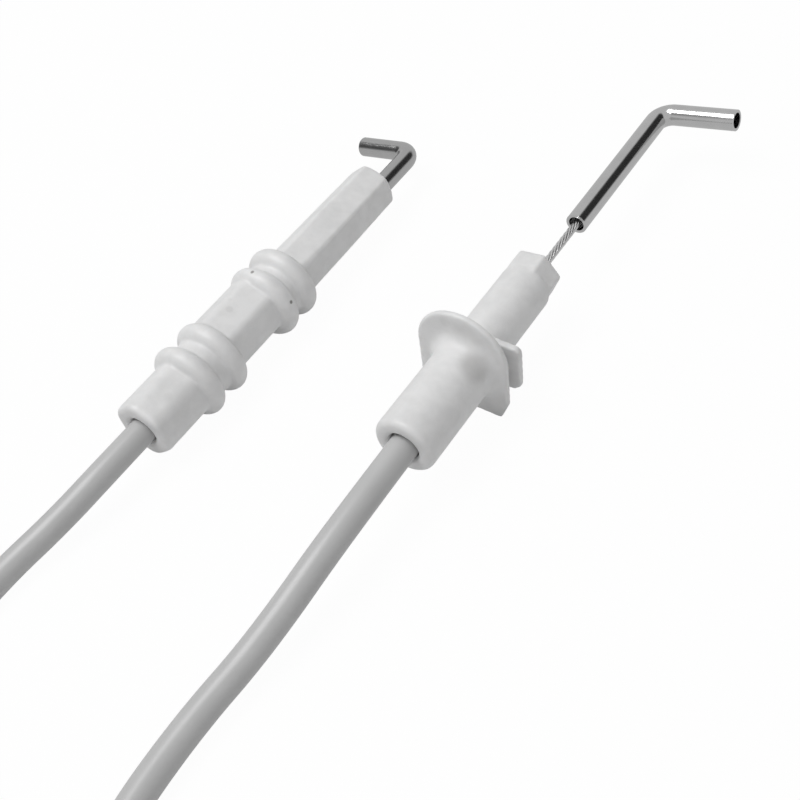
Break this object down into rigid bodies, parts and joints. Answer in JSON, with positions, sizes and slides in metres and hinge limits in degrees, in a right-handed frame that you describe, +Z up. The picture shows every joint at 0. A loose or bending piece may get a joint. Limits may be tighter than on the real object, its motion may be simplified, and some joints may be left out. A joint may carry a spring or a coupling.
{
  "type": "ignition electrode",
  "caption": "Pair of burner ignition electrodes: a ribbed ceramic with a bent rod and a collared ceramic with a bent open tube, each on a silicone lead with a booted terminal.",
  "frame": {"origin": "on the surface, under the middle of the two electrodes without their leads", "axes": "+Y along both electrodes from lead to tip, +Z up from the surface, +X from the ribbed electrode to the collar electrode"},
  "size_m": [0.0939, 0.1742, 0.0164],
  "materials": {
    "ceramic": "off-white, thin glaze",
    "cement": "matt cement",
    "nickel_alloy": "drawn, polished",
    "bright_steel": "bright plated",
    "plated_steel": "plated",
    "steel_strand": "twisted strands",
    "copper_strand": "tinned strands",
    "silicone": "grey silicone, satin",
    "boot_silicone": "dark silicone, matt",
    "brass": "plain",
    "spring_steel": "plain"
  },
  "bodies": {
    "collar_electrode": {"collar_core_wire": "steel_strand", "tip_tube": "bright_steel", "wire_ferrule": "plated_steel", "collar_lead": "silicone", "collar_lead_coil": "silicone", "collar_lead_tail": "silicone", "collar_terminal_socket": "brass", "collar_terminal_clip": "spring_steel"},
    "collar_ceramic": {"collar_insulator": "ceramic"},
    "collar_boot": {"collar_terminal_boot": "boot_silicone"},
    "ribbed_electrode": {"ribbed_insulator": "ceramic", "bent_rod": "nickel_alloy", "rod_cement": "cement", "rod_crimp_sleeve": "plated_steel", "ribbed_core_end": "copper_strand", "ribbed_lead": "silicone", "ribbed_lead_coil": "silicone", "ribbed_lead_tail": "silicone", "ribbed_terminal_socket": "brass", "ribbed_terminal_clip": "spring_steel"},
    "ribbed_boot": {"ribbed_terminal_boot": "boot_silicone"}
  },
  "joints": [
    {"name": "collar_slide", "type": "slide", "parent": "collar_electrode", "child": "collar_ceramic", "axis": [0, 1, 0], "range_m": [0, 0.0101]},
    {"name": "collar_boot_slide", "type": "slide", "parent": "collar_electrode", "child": "collar_boot", "axis": [0.9848, -0.1736, 0], "range_m": [0, 0.008]},
    {"name": "pair_apart", "type": "slide", "parent": "collar_electrode", "child": "ribbed_electrode", "axis": [-1, 0, 0], "range_m": [0, 0.02]},
    {"name": "ribbed_boot_slide", "type": "slide", "parent": "ribbed_electrode", "child": "ribbed_boot", "axis": [0, -1, 0], "range_m": [0, 0.008]}
  ]
}
